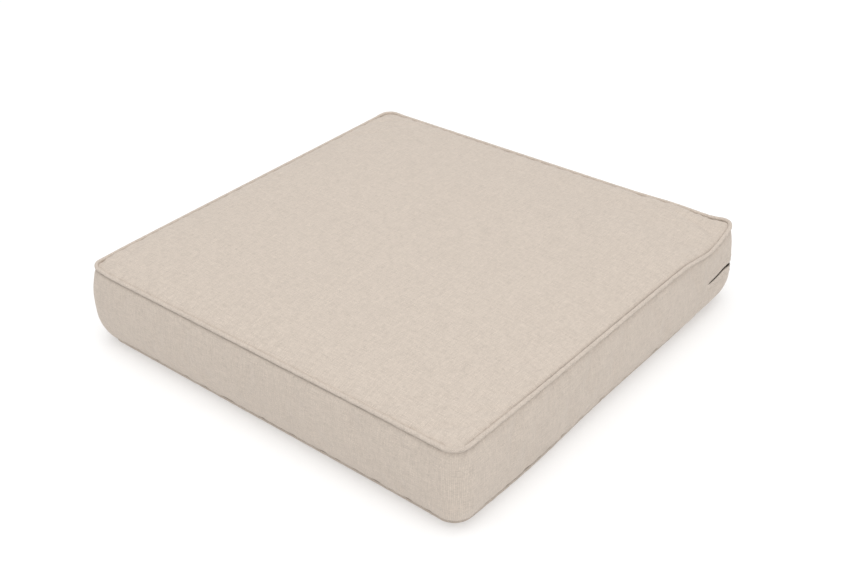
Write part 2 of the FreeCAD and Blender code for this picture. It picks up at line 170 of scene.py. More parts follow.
def grid_normals(grid, closed=False):
    """Unit normals of a grid of points: along the columns crossed with up the rows."""
    rows = np.gradient(grid, axis=0)
    if closed:
        columns = np.roll(grid, -1, 1) - np.roll(grid, 1, 1)
    else:
        columns = np.gradient(grid, axis=1)
    normal = np.cross(columns, rows)
    return normal / np.maximum(np.linalg.norm(normal, axis=2, keepdims=True), 1e-12)


def grid_faces(index):
    """Quads over a grid of vertex numbers."""
    a, b, c, d = index[:-1, :-1], index[:-1, 1:], index[1:, 1:], index[1:, :-1]
    return np.stack([a, b, c, d], -1).reshape(-1, 4)


def new_object(name, data):
    obj = bpy.data.objects.new(name, data)
    bpy.context.scene.collection.objects.link(obj)
    return obj


def add_weld(obj, distance):
    weld = obj.modifiers.new("Weld", "WELD")
    weld.merge_threshold = distance


def make_mesh(name, points, faces, cloth=None, shade_amount=None):
    """A smooth-shaded object from arrays. cloth gives each point's place on the flat fabric, in metres, and
    the last argument how much painted shade it gets in a sewn fold, from 0 to 1.
    """
    mesh = bpy.data.meshes.new(name)
    mesh.from_pydata(np.asarray(points).tolist(), [], [list(map(int, f)) for f in faces])
    mesh.shade_smooth()
    if cloth is not None:
        layer = mesh.attributes.new("cloth", "FLOAT_VECTOR", "POINT")
        flat = np.zeros((len(cloth), 3), np.float32)
        flat[:, :2] = cloth
        layer.data.foreach_set("vector", flat.ravel())
    # the painted shade of the sewn folds, kept as a point attribute
    if shade_amount is not None:
        layer = mesh.attributes.new("crease_shade", "FLOAT", "POINT")
        layer.data.foreach_set("value", np.asarray(shade_amount, np.float32).ravel())
    mesh.update()
    return new_object(name, mesh)


# ---- the seam line ----
def spacing(count):
    """Places from 0 to 1 along a side, closer together towards its ends."""
    t = np.linspace(0, 1, count + 1)
    return t - 0.55 * np.sin(2 * math.pi * t) / (2 * math.pi)


SIDE_AXES = (  # for each side, the way along it and the way out of it, anticlockwise from the front
    ((1, 0), (0, -1)),
    ((0, 1), (1, 0)),
    ((-1, 0), (0, 1)),
    ((0, -1), (-1, 0)),
)
FRONT, RIGHT, BACK, LEFT = range(4)


def side_halves(side):
    return (HALF_X, HALF_Y) if side in (FRONT, BACK) else (HALF_Y, HALF_X)


def side_length(side):
    half, _ = side_halves(side)
    return 2 * (half - CORNER_R) + math.pi * CORNER_R / 2


def side_places(side):
    """Where the net's columns stand along a side, with one set exactly at each end of the slit."""
    places = spacing(SIDE_CELLS)
    half, _ = side_halves(side)
    arc = math.pi * CORNER_R / 4
    marks = {BACK: -ZIP_LEFT_X, RIGHT: SLIT_END_Y}
    if side in marks:
        place = (arc + marks[side] + half - CORNER_R) / side_length(side)
        places[np.argmin(abs(places - place))] = place
    return places


PLACES = [side_places(side) for side in range(4)]


def outline(out, radius):
    """The seam line moved out by out, with corners of that radius: points (n, 2) and unit normals (n, 2)."""
    points, normals = [], []
    for side in range(4):
        half, across = side_halves(side)
        run, arc = half - CORNER_R, math.pi * CORNER_R / 4
        d = PLACES[side][:-1] * side_length(side)
        first = np.clip(math.pi / 4 - d / CORNER_R, 0, None)
        last = np.clip((d - arc - 2 * run) / CORNER_R, 0, None)
        angle = last - first
        straight = (np.clip(d - arc, 0, 2 * run) - run) * (half + out - radius) / run
        along = straight + radius * np.sin(angle)
        outward = across + out - radius + radius * np.cos(angle)
        way, face = (np.array(v, float) for v in SIDE_AXES[side])
        points.append(along[:, None] * way + outward[:, None] * face)
        normals.append(np.sin(angle)[:, None] * way + np.cos(angle)[:, None] * face)
    return np.concatenate(points), np.concatenate(normals)


SEAM_XY, SEAM_OUT = outline(0, CORNER_R)
COLUMNS = len(SEAM_XY)
STEPS = np.linalg.norm(np.roll(SEAM_XY, -1, 0) - SEAM_XY, axis=1)
ARC = np.concatenate([[0], np.cumsum(STEPS)[:-1]])         # distance round the seam from the front left
LOOP = STEPS.sum()
CORNERS = [i * SIDE_CELLS for i in range(4)]               # the columns at the middles of the corners
TO_CORNER = np.min([np.linalg.norm(SEAM_XY - SEAM_XY[i], axis=1) for i in CORNERS], axis=0)


def column_at(side, axis, place):
    """The column of a side that is nearest to a place in X (axis 0) or Y (axis 1)."""
    first = CORNERS[side]
    return first + int(np.argmin(abs(SEAM_XY[first:first + SIDE_CELLS, axis] - place)))


SLIT_START = column_at(RIGHT, 1, SLIT_END_Y)
SLIT_STOP = column_at(BACK, 0, ZIP_LEFT_X)
ZIP_RUN = ARC - ARC[SLIT_START]                            # distance round the seam from the slit's right end


def slit_half(run):
    """Half the slit's width at a distance from its right end: it widens along the side and at the corner."""
    side = HALF_Y - CORNER_R - SLIT_END_Y
    corner = side + math.pi * CORNER_R / 2
    return np.interp(run, [0, 5 * MM, side, corner], [0, SLIT_HALF_SIDE, SLIT_HALF_CORNER, SLIT_HALF])


# ---- the net at rest ----
def row_heights():
    """Heights of the boxing's rows: close together at the seams and beside the zip."""
    away = np.array([0, 2.6, 5, 7.4, 9.8, 13, 18, 24, 30, 36, 41, 45, 48, 49.6, 50.8]) * MM
    lower = ZIP_Z - away[::-1] * (ZIP_Z - SEAM_LOW) / away[-1]
    upper = ZIP_Z + away * (SEAM_HIGH - ZIP_Z) / away[-1]
    return np.concatenate([lower, upper[1:]]), len(lower) - 1


ROW_Z, ZIP_ROW = row_heights()


def round_loop(at):
    """Distance along the seam from a place on it to every column, the shorter way round."""
    away = abs(ARC - at)
    return np.minimum(away, LOOP - away)


def bump_at(at, reach):
    """A smooth bump along the seam, 1 at a place on it."""
    return np.exp(-(round_loop(at) / reach) ** 2)


def seam_shift():
    """How far the top seam turns up or sags, and how far it is pushed out, at every column."""
    up = sum(ear * bump_at(ARC[i], EAR_REACH) for i, ear in zip(CORNERS, EARS))
    back_right = ARC[CORNERS[BACK]]
    sag = bump_at(back_right - SAG_AT, SAG_REACH)
    hump = bump_at(back_right + HUMP_AT, HUMP_REACH)
    tucked = bump_at(ARC[0], TUCK_REACH)
    return up - SAG_DOWN * sag + HUMP * hump, SAG_OUT * sag - TUCK * tucked


def foot():
    """How strongly the boxing's foot is drawn in at every column, around 1."""
    less = bump_at(ARC[CORNERS[RIGHT]] + 120 * MM, 110 * MM)
    more = bump_at(ARC[CORNERS[BACK]] - 15 * MM, 60 * MM)
    return 1 - 0.55 * less + 0.35 * more


def boxing_net():
    """The boxing's points: rows from the bottom seam to the top seam, columns all the way round."""
    rows = []
    at_corner = np.exp(-(TO_CORNER / CORNER_REACH) ** 2)[:, None]
    up, out = seam_shift()
    lifted = SLIT_LIFT * bump_at(ARC[CORNERS[BACK]] - SLIT_LIFT_AT, SLIT_LIFT_REACH)
    pressed = PRESS * bump_at(ARC[SLIT_STOP] + PRESS_AT, PRESS_REACH)
    for z in ROW_Z:
        low = np.clip(1 - (z - SEAM_LOW) / (CURL_HEIGHT + CURL_MORE * at_corner), 0, 1)
        straight, normal = outline(bow(z), CORNER_R + bow(z))
        widest = 1 - (z - SEAM_LOW) / (CURL_HEIGHT + CURL_MORE)
        curled, _ = outline(bow(z), CORNER_R + CURL_RADIUS * max(widest, 0) ** 2 + bow(z))
        xy = straight + (curled - straight) * smooth(3 * low) - CURL * foot()[:, None] * low ** 2.5 * normal
        high = smooth((z - ZIP_Z - 12 * MM) / (SEAM_HIGH - ZIP_Z - 12 * MM))
        xy = xy + (out * high)[:, None] * normal
        xy = xy - (pressed * np.exp(-((z - ZIP_Z) / PRESS_HIGH) ** 2))[:, None] * normal
        lift = lifted * (1 - abs(z - ZIP_Z) / BOX_HALF)
        height = z - FOOT_DROP * low[:, 0] ** 3 + up * high + lift
        rows.append(np.column_stack([xy, height]))
    return np.array(rows)


def panel_edges(loop):
    """The four sides of a seam loop as rows that share their corner points: front, right, back, left."""
    n = SIDE_CELLS
    ring = np.concatenate([loop, loop[:1]])
    return ring[0:n + 1], ring[n:2 * n + 1], ring[2 * n:3 * n + 1][::-1], ring[3 * n:4 * n + 1][::-1]


def panel_net(loop, rise):
    """A panel's points filled in from its seam loop, with a crown of height rise."""
    front, right, back, left = panel_edges(loop)
    u = PLACES[FRONT][None, :, None]
    v = PLACES[LEFT][:, None, None]
    between = (1 - v) * front[None] + v * back[None] + (1 - u) * left[:, None] + u * right[:, None]
    corners = ((1 - u) * (1 - v) * front[0] + u * (1 - v) * front[-1]
               + (1 - u) * v * back[0] + u * v * back[-1])
    net = between - corners
    net[..., 2] += rise * crown_shape(u[..., 0]) * crown_shape(v[..., 0])
    return net


def crown_shape(t):
    """The crown's rise across a panel, from 0 at its edges to 1 over most of it."""
    return 1 - t ** DOME_POWER - (1 - t) ** DOME_POWER


def bottom_net(loop):
    """The underside: it slopes down from its seam to the flat that it rests on."""
    net = panel_net(loop, 0)
    inside = np.minimum(HALF_X - abs(net[..., 0]), HALF_Y - abs(net[..., 1])) - CURL - 6 * MM
    level = smooth(inside / BASE_REACH)
    net[..., 2] = net[..., 2] * (1 - level)
    return net


# ---- the inflated skin ----
def skin_index():
    """Vertex numbers of the closed skin's three grids, which share their seam loops."""
    rows, n = len(ROW_Z), SIDE_CELLS
    boxing = np.arange(rows * COLUMNS).reshape(rows, COLUMNS)
    used = rows * COLUMNS

    def panel(loop_row):
        nonlocal used
        index = np.full((n + 1, n + 1), -1)
        index[0], index[:, -1], index[-1], index[:, 0] = panel_edges(loop_row)
        count = (n - 1) ** 2
        index[1:-1, 1:-1] = used + np.arange(count).reshape(n - 1, n - 1)
        used += count
        return index

    return boxing, panel(boxing[-1]), panel(boxing[0])


def inflate(points, faces, pinned):
    """Cloth simulation of the closed skin under air pressure: where each point comes to rest."""
    obj = make_mesh("skin", points, faces)
    group = obj.vertex_groups.new(name="pinned")
    group.add([int(i) for i in pinned], 1.0, "REPLACE")
    cloth = obj.modifiers.new("Cloth", "CLOTH")
    settings = cloth.settings
    values = {"quality": 6, "mass": 0.25, "tension_stiffness": 60, "compression_stiffness": 40,
              "shear_stiffness": 12, "bending_stiffness": 3, "use_pressure": True,
              "uniform_pressure_force": 4, "vertex_group_mass": "pinned", "shrink_min": -0.004}
    for name, value in values.items():
        setattr(settings, name, value)
    settings.effector_weights.gravity = 0
    cloth.point_cache.frame_start = 1
    cloth.point_cache.frame_end = 20
    scene = bpy.context.scene
    for number in range(1, 21):
        scene.frame_set(number)
    solved = obj.evaluated_get(bpy.context.evaluated_depsgraph_get())
    moved = np.array([v.co for v in solved.data.vertices])
    scene.frame_set(1)
    mesh = obj.data
    bpy.data.objects.remove(obj)
    bpy.data.meshes.remove(mesh)
    return moved


def capped(base, moved, limit):
    """Where points end up when their movement from base is limited softly."""
    step = moved - base
    size = np.linalg.norm(step, axis=-1, keepdims=True)
    return base + step / np.maximum(size, 1e-9) * limit * np.tanh(size / limit)


def joined_skin(nets):
    """The closed skin of the boxing, top and bottom nets: its points and faces."""
    indexes = skin_index()
    boxing_i, top_i, bottom_i = indexes
    points = np.zeros((bottom_i.max() + 1, 3))
    for index, net in zip(indexes, nets):
        points[index] = net
    sides = grid_faces(closed_columns(boxing_i))
    return points, np.concatenate([sides, grid_faces(top_i), grid_faces(bottom_i)[:, ::-1]])


def sewn_skin():
    """The boxing's and the panels' nets after the cover is filled."""
    boxing = boxing_net()
    top = panel_net(boxing[-1], CROWN)
    bottom = bottom_net(boxing[0])
    boxing_i, top_i, bottom_i = skin_index()
    points, faces = joined_skin((boxing, top, bottom))
    beside = (ZIP_RUN > -8 * MM) & (ZIP_RUN < ZIP_RUN[SLIT_STOP] + PULL_REACH)
    near_zip = (abs(ROW_Z - ZIP_Z)[:, None] < 19 * MM) & beside[None, :]
    pinned = np.concatenate([boxing_i[0], boxing_i[-1], boxing_i[near_zip]])
    moved = inflate(points, faces, pinned)
    boxing = capped(boxing, moved[boxing_i], BOXING_SWELL)
    top = capped(top, moved[top_i], TOP_SWELL)
    bottom = capped(bottom, moved[bottom_i], BOTTOM_SWELL)
    bottom[..., 2] = np.maximum(bottom[..., 2], 0)
    return boxing, top, bottom


# ---- cover pieces ----
def seam_gap(net):
    """Distance of each point of a panel from its nearest edge, along the net."""
    across = np.cumsum(np.linalg.norm(np.diff(net, axis=1), axis=2), axis=1)
    across = np.concatenate([np.zeros((len(net), 1)), across], axis=1)
    up = np.cumsum(np.linalg.norm(np.diff(net, axis=0), axis=2), axis=0)
    up = np.concatenate([np.zeros((1, net.shape[1])), up], axis=0)
    return np.minimum.reduce([across, across[:, -1:] - across, up, up[-1:] - up])


def roll(gap, height, reach):
    """Rise of the fabric beside a seam, where it rounds up beside the piping."""
    return height * (1 - np.exp(-gap / reach))


def crease_shade(gap):
    """How much painted shade a place gets in the sewn fold of a seam: 1 at the stitches, nearly 0 a few
    millimetres away.
    """
    return np.exp(-gap / (1.1 * MM))


def shaped_panel(net, seed):
    """The top panel's fine grid, rounded up and slightly puckered beside its seams, and its seam gaps."""
    fine = finer_both(net)
    normal = grid_normals(fine)
    gap = seam_gap(fine)
    along = fine[..., 0] + fine[..., 1]
    pucker = ripple(along, (7 * MM, 26 * MM), seed) * np.exp(-gap / (9 * MM)) * smooth(gap / (3 * MM))
    right = smooth((fine[..., 0] - 200 * MM) / (90 * MM))
    corner = sum(np.exp(-((fine[..., 0] - x) ** 2 + (fine[..., 1] - y) ** 2) / (26 * MM) ** 2)
                 for x, y in ((-HALF_X, -HALF_Y), (HALF_X, HALF_Y), (-HALF_X, HALF_Y)))
    rise = roll(gap, (4.7 - 1.1 * right) * MM, 3.4 * MM) * (1 - 0.75 * corner)
    return fine + normal * (rise + (0.16 + 0.22 * right) * MM * pucker)[..., None], gap


def thick(obj):
    """Gives a piece the thickness of one ply of the cloth, inwards."""
    solid = obj.modifiers.new("Thickness", "SOLIDIFY")
    solid.thickness = PLY
    solid.offset = -1
    return obj


def make_panel(name, fine, gap, node, flip):
    """A panel of the cover from its fine grid, with its faces turned over for the underside."""
    index = np.arange(fine[..., 0].size).reshape(fine.shape[:2])
    points = fine.reshape(-1, 3)
    faces = grid_faces(index)[:, ::-1] if flip else grid_faces(index)
    # the panel gets painted shade beside its seams
    obj = thick(make_mesh(name, points, faces, points[:, :2], crease_shade(gap)))
    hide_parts(node)
    return obj


def make_top_panel(net):
    fine, gap = shaped_panel(net, 11)
    return make_panel("cover_top_panel", fine, gap, "top_panel", False)


def make_bottom_panel(net):
    fine = finer_both(net)
    normal = -grid_normals(fine)
    gap = seam_gap(fine)
    fine = fine + normal * roll(gap, 1.5 * MM, 4 * MM)[..., None]
    fine[..., 2] = np.maximum(fine[..., 2], 0)
    return make_panel("cover_bottom_panel", fine, gap, "bottom_panel", True)


class Boxing:
    """The boxing's fine grid, with what the pieces on it need: rest heights, run along the strip, normals."""

    def __init__(self, net):
        self.grid = finer_both(net, closed=True)
        self.heights = finer(ROW_Z)
        self.run = finer(np.concatenate([ZIP_RUN, [ZIP_RUN[0] + LOOP]]))[:-1]
        self.zip_row = 2 * ZIP_ROW
        self.start, self.stop = 2 * SLIT_START, 2 * SLIT_STOP
        normal = grid_normals(self.grid, closed=True)
        low, high = self.heights - SEAM_LOW, SEAM_HIGH - self.heights
        self.gap = np.minimum(low, high)
        on_right = smooth((self.run + 480 * MM) / (120 * MM)) * smooth((90 * MM - self.run) / (20 * MM))
        wave = ripple(self.run, (8 * MM, 30 * MM), 23)
        near = np.exp(-high / (10 * MM)) * smooth(high / (3 * MM))
        pucker = near[:, None] * (wave * (0.18 + 0.3 * on_right))[None, :] * MM
        pillow = roll(high, 2.2 * MM, 3.0 * MM) * roll(low, 1.0, 3.0 * MM) + roll(low, 1.4 * MM, 3.5 * MM) \
            * np.exp(-(low / (24 * MM)) ** 2)
        self.grid += normal * (pillow[:, None] + pucker)[..., None]
        self.normals = grid_normals(self.grid, closed=True)

    def opened(self):
        """The grid with its rows drawn back from the slit's centre line, as (lower rows, upper rows)."""
        half = np.zeros(self.grid.shape[1])
        inside = slice(self.start + 1, self.stop + 1)
        half[inside] = slit_half(self.run[inside]) + FOLD_R * smooth(self.run[inside] / (9 * MM))
        up = unit(np.gradient(self.grid, axis=0))
        away = self.heights - ZIP_Z
        share = np.clip(1 - abs(away) / (13 * MM), 0, 1)[:, None, None]
        shift = up * share * half[None, :, None]
        row = self.zip_row
        return self.grid[:row + 1] - shift[:row + 1], self.grid[row:] + shift[row:]


def fold_rows(edge, outward, towards):
    """Rows that turn a fabric edge through half a circle and take it back behind itself as a hem."""
    rows = []
    for degrees in (40, 80, 120, 150, 180):
        angle = math.radians(degrees)
        rows.append(edge + FOLD_R * (math.sin(angle) * towards - (1 - math.cos(angle)) * outward))
    for back in (2.5 * MM, 5.5 * MM, 8.5 * MM):
        rows.append(edge - 2 * FOLD_R * outward - back * towards)
    return np.array(rows)


def make_boxing(boxing):
    """The boxing strip: its ends meet at the upright seam where the slit's left end is."""
    lower, upper = boxing.opened()
    stop = boxing.stop

    def from_seam(grid):
        """Columns in order from the strip's own seam all the way round to it again."""
        return np.concatenate([grid[:, stop:], grid[:, :stop + 1]], axis=1)

    run = from_seam(boxing.run[None])[0]
    run = np.where(np.arange(len(run)) < len(boxing.run) - stop, run - LOOP, run)
    open_from = len(boxing.run) - stop + boxing.start + 1
    low, high = from_seam(lower), from_seam(upper)
    normals = from_seam(boxing.normals)[boxing.zip_row]
    low[:, 0] = from_seam(boxing.grid[:boxing.zip_row + 1])[:, 0]
    high[:, 0] = from_seam(boxing.grid[boxing.zip_row:])[:, 0]

    points, cloth, shade_amount, faces = [], [], [], []

    def add(grid, flat_run, flat_height, depth=0.0):
        """Adds a grid's points, and returns their vertex numbers."""
        first = sum(len(p) for p in points)
        gap = np.minimum(flat_height - SEAM_LOW, SEAM_HIGH - flat_height)
        # painted shade of the sewn folds; depth is the least of it these points get
        shade_amount.append(np.broadcast_to(np.maximum(crease_shade(gap), depth)[:, None], grid.shape[:2]).ravel())
        points.append(grid.reshape(-1, 3))
        flat = np.stack(np.broadcast_arrays(flat_run[None, :], flat_height[:, None]), -1)
        cloth.append(flat.reshape(-1, 2))
        return first + np.arange(grid.shape[0] * grid.shape[1]).reshape(grid.shape[:2])

    heights = boxing.heights
    low_i = add(low, run, heights[:boxing.zip_row + 1])
    high_i = add(high[1:], run, heights[boxing.zip_row + 1:])
    edge_i = add(high[:1, open_from:], run[open_from:], heights[boxing.zip_row:boxing.zip_row + 1])
    shared = np.concatenate([low_i[-1:, :open_from], edge_i], axis=1)
    high_i = np.concatenate([shared, high_i])
    faces += [grid_faces(low_i), grid_faces(high_i)]

    outward = normals[open_from:]
    for edge_points, edge_index, way in ((low[-1], low_i[-1], 1), (high[0], high_i[0], -1)):
        rise = high[0, open_from:] - low[-1, open_from:]
        towards = way * rise / np.maximum(np.linalg.norm(rise, axis=1, keepdims=True), 1e-9)
        rows = fold_rows(edge_points[open_from:], outward, towards)
        # the hem turned back inside the slit gets painted shade of at least 0.6
        hem = add(rows, run[open_from:], ZIP_Z + way * np.linspace(0.5, 12, len(rows)) * MM, 0.6)
        strip = np.concatenate([edge_index[None, open_from:], hem])
        quads = grid_faces(strip)
        faces.append(quads if way > 0 else quads[:, ::-1])

    row = boxing.zip_row
    for column, side in ((0, 1), (-1, -1)):        # the crease of the strip's own seam
        # the lower half's directions serve the upper half too: both have the same number of rows
        inward = -from_seam(boxing.normals)[:row + 1, column]
        for grid, index, rows in ((low, low_i, heights[:row + 1]), (high, high_i, heights[row:])):
            away = unit(grid[:, 1 if side > 0 else -2] - grid[:, column])
            steps = [grid[:, column] + 0.25 * MM * inward - 0.15 * MM * away,
                     grid[:, column] + 1.6 * MM * inward - 0.1 * MM * away]
            # the tuck into the strip's own seam gets painted shade of at least 0.8
            tuck = add(np.stack(steps, 1), run[column] - side * np.array([0.3, 1.5]) * MM, rows, 0.8)
            strip = np.concatenate([index[:, [column]], tuck], axis=1)
            quads = grid_faces(strip)
            faces.append(quads if side < 0 else quads[:, ::-1])

    arrays = [np.concatenate(part) for part in (points, faces, cloth, shade_amount)]
    obj = thick(make_mesh("cover_boxing", *arrays))
    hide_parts("boxing")
    return obj


# ---- piping and threads that follow a seam ----
def tube_along(name, path, outward, radii, sides, shade_amount=None):
    """A closed tube round a closed path, with a unit vector outward at each point, and the tube's radii."""
    ahead = unit(np.roll(path, -1, 0) - np.roll(path, 1, 0))
    across = square_to(outward, ahead)
    n = len(path)
    sizes = np.broadcast_to(radii, (n, sides))[..., None]
    points = rings(path, across, np.cross(across, ahead), sides, sizes)
    run = distance_along(path)
    around = np.arange(sides) / sides
    closed = closed_columns(np.arange(n * sides).reshape(n, sides))
    closed = np.concatenate([closed, closed[:1]])
    girth = 2 * math.pi * float(np.mean(radii))
    flat = np.stack(np.broadcast_arrays(run[:, None], around[None] * girth), -1)
    return make_mesh(name, points.reshape(-1, 3), grid_faces(closed)[:, ::-1], flat.reshape(-1, 2), shade_amount)


PIPE_OUT = 2.4 * MM              # from the seam to the middle of the piping
# distance in mm from each side's start, and the angle in degrees there, twice for each side
LEANS = ((120, 98), (470, 98), (150, 24), (440, 24), (120, 75), (470, 75), (120, 85), (440, 85))


def top_lean():
    """The angle at which the piping stands from the seam at every column: 90 is upright, 0 lies outwards.

    It stands on the front edge, and has rolled outwards along the right edge.
    """
    knots = [ARC[CORNERS[i // 2]] + at * MM for i, (at, _) in enumerate(LEANS)]
    return np.radians(np.interp(ARC, knots, [lean for _, lean in LEANS], period=LOOP))


def bottom_lean():
    """The same angle for the bottom piping, which is tucked under all the way round."""
    return np.full(COLUMNS, math.radians(-105))


def seam_path(loop, out, up):
    """A smooth closed path beside a seam loop: out from it and up from it."""
    path = loop + np.column_stack([SEAM_OUT * np.reshape(out, (-1, 1)), np.broadcast_to(up, COLUMNS)])
    fine = finer(finer(path, closed=True), closed=True)
    normal = unit(finer(finer(SEAM_OUT, closed=True), closed=True))
    return fine, np.column_stack([normal, np.zeros(len(normal))])


def piping_path(loop, lean):
    return seam_path(loop, PIPE_OUT * np.cos(lean), PIPE_OUT * np.sin(lean))


def make_piping(name, loop, lean, node, seed):
    """The fabric round the piping cord, its surface slightly uneven where it is sewn."""
    path, outward = piping_path(loop, lean)
    run = distance_along(path)
    uneven = ripple(run, (9 * MM, 40 * MM), seed)
    path = path + outward * (0.12 * MM * uneven)[:, None]
    sides = 16
    angle = np.linspace(0, 2 * math.pi, sides, endpoint=False)
    lean = np.repeat(lean, len(path) // COLUMNS)
    to_seam = np.cos(angle[None] - lean[:, None] - math.pi)
    pinch = ripple(run, (5 * MM, 14 * MM), seed + 1)
    radii = PIPE_R + 0.05 * MM * pinch[:, None] * to_seam
    # painted shade on the side of the piping that faces the seam
    obj = tube_along(name, path, outward, radii, sides, 0.8 * smooth((to_seam - 0.72) / 0.25))
    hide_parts(node)
    return obj


def make_inner_tubes(loops):
    """The piping's cords and the seams' threads, inside the cover."""
    made = []
    for part, loop, way, lean in loops:
        path, outward = piping_path(loop, lean)
        cord = tube_along(f"{part}_piping_cord", path[::2], outward[::2], 1.75 * MM, 10)
        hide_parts(f"{part}_piping_cord")
        made.append((cord, "piping_cord"))
        path, outward = seam_path(loop, -4.6 * MM, -way * 3.2 * MM)
        run = np.arange(len(path)) * LOOP / len(path)
        dips = 0.15 * MM * np.cos(2 * math.pi * run / (3.2 * MM))
        thread = tube_along(f"{part}_seam_stitching", path + outward * dips[:, None], outward, 0.22 * MM, 5)
        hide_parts(f"{part}_seam_thread")
        made.append((thread, "sewing_thread"))
    return made


# ---- stitches and zip ----
def stitch_shape(length, radius):
    """One stitch: a short thread with rounded ends that dip into the fabric, along X."""
    rounds, sides = 7, 6
    t = np.linspace(-1, 1, rounds)
    x = t * length / 2
    r = radius * np.sqrt(np.clip(1 - abs(t) ** 3, 0.12, 1))
    dip = -radius * 1.2 * abs(t) ** 4
    angle = np.linspace(0, 2 * math.pi, sides, endpoint=False)
    points = np.stack(np.broadcast_arrays(
        x[:, None], r[:, None] * np.cos(angle)[None], dip[:, None] + r[:, None] * np.sin(angle)[None]), -1)
    index = np.arange(rounds * sides).reshape(rounds, sides)
    faces = [list(f) for f in grid_faces(closed_columns(index))[:, ::-1]]
    faces += [list(index[0]), list(index[-1][::-1])]
    return points.reshape(-1, 3), faces


def at_run(at, run, rows):
    """The vector at a distance along a line, between those in rows at the distances in run."""
    return np.array([np.interp(at, run, column) for column in rows.T])


def make_topstitch(name, boxing, rows, height, node):
    """A row of stitches on one strip beside the zip, at one rest height of the fabric."""
    lower, upper = rows
    grid, heights = (lower, boxing.heights[:boxing.zip_row + 1]) if height < ZIP_Z else \
        (upper, boxing.heights[boxing.zip_row:])
    columns = slice(boxing.start, boxing.stop + 1)
    line = np.array([at_run(height, heights, grid[:, c]) for c in range(columns.start, columns.stop)])
    row = int(np.argmin(abs(boxing.heights - height)))
    outward = boxing.normals[row, columns]
    run = distance_along(line)
    pitch, length = 3.6 * MM, 2.9 * MM
    shape, shape_faces = stitch_shape(length, 0.34 * MM)
    points, faces = [], []
    at = 1.5 * pitch
    while at < run[-1] - pitch:
        place = at_run(at, run, line)
        ahead = at_run(at + MM, run, line) - place
        ahead /= np.linalg.norm(ahead)
        normal = at_run(at, run, outward)
        side = np.cross(normal, ahead)
        side /= np.linalg.norm(side)
        normal = np.cross(ahead, side)
        tilt = rng.normal(0, 0.03)
        local = shape @ np.array([ahead + tilt * side, side, normal])
        first = len(points) * len(shape)
        points.append(place + 0.2 * MM * normal + local)
        faces += [[first + i for i in f] for f in shape_faces]
        at += pitch * (1 + rng.normal(0, 0.02))
    obj = make_mesh(name, np.concatenate(points), faces)
    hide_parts(node)
    return obj


def zip_line(depth):
    """The zip's centre line at a depth behind the boxing's face: points, outward vectors and run."""
    out = bow(ZIP_Z) - depth
    radius = CORNER_R + out
    step = 0.13 * MM
    side = np.arange(SLIT_END_Y, HALF_Y - CORNER_R, step)
    turn = np.arange(0, math.pi / 2, step / radius)
    back = np.arange(0, HALF_X - CORNER_R - ZIP_LEFT_X, step)
    middle = np.array([HALF_X - CORNER_R, HALF_Y - CORNER_R])
    points = np.concatenate([
        np.column_stack([np.full(len(side), HALF_X + out), side]),
        middle + radius * np.column_stack([np.cos(turn), np.sin(turn)]),
        np.column_stack([HALF_X - CORNER_R - back, np.full(len(back), HALF_Y + out)]),
    ])
    outward = np.concatenate([
        np.tile([1.0, 0.0], (len(side), 1)),
        np.column_stack([np.cos(turn), np.sin(turn)]),
        np.tile([0.0, 1.0], (len(back), 1)),
    ])
    return points, outward, np.arange(len(points)) * step


def make_coil(name, upper, node):
    """One side of the zip: a flattened coil with a bulge on each turn where it locks with the other side."""
    low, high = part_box(node)
    inner, outer = (low.z, high.z) if upper else (high.z, low.z)
    depth = HALF_Y + bow(ZIP_Z) - high.y
    thickness = 1.8 * MM
    line, outward, run = zip_line(depth + thickness / 2)
    pitch = 1.35 * MM
    phase = 2 * math.pi * run / pitch + (0 if upper else math.pi)
    wire = 0.33 * MM
    middle = (inner + outer) / 2
    reach = abs(outer - inner) / 2 - wire
    towards = 1 if upper else -1
    z = middle - towards * reach * np.sign(np.cos(phase)) * abs(np.cos(phase)) ** 0.6
    out = (thickness / 2 - wire) * np.sign(np.sin(phase)) * abs(np.sin(phase)) ** 0.7
    path = np.column_stack([line + outward * out[:, None], z])
    ahead = unit(np.gradient(path, axis=0))
    along = np.column_stack([-outward[:, 1], outward[:, 0], np.zeros(len(run))])
    across = square_to(along, ahead)
    sides = 5
    nose = 1 + 0.35 * np.clip(np.cos(phase), 0, 1) ** 4
    points = rings(path, across, np.cross(ahead, across), sides, (wire * nose)[:, None, None])
    index = np.arange(len(path) * sides).reshape(len(path), sides)
    quads = [list(f) for f in grid_faces(closed_columns(index))]
    quads += [list(index[0][::-1]), list(index[-1])]
    obj = make_mesh(name, points.reshape(-1, 3), quads)
    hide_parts(node)
    return obj


def make_metal(name, node, body):
    """A moving part of the slider, with its edges slightly rounded."""
    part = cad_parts[node]
    obj = new_object(name, part.data.copy())
    obj.matrix_world = part.matrix_world.copy()
    add_weld(obj, 0.01 * MM)
    bevel = obj.modifiers.new("Rounded edges", "BEVEL")
    bevel.width = 0.22 * MM
    bevel.segments = 3
    bevel.angle_limit = math.radians(35)
    bevel.use_clamp_overlap = True
    bevel.harden_normals = True
    obj.data.shade_smooth()
    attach(obj, body)
    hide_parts(node)
    return obj


# ---- filling ----
def make_wrap(nets):
    """The fibre round the foam: the skin drawn in under the cover, and further in behind the zip."""
    points, faces = joined_skin(nets)
    inset, behind, lower = 5.5 * MM, 10 * MM, 4 * MM
    points[:, 0] *= 1 - inset / HALF_X
    points[:, 1] *= np.where(points[:, 1] < 0, 1 - inset / HALF_Y, 1 - behind / HALF_Y)
    points[:, 2] = BOX_MID + (points[:, 2] - BOX_MID) * (1 - lower / BOX_HALF)
    obj = make_mesh("fibre_wrap_padding", points, faces)
    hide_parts("fibre_wrap")
    return obj


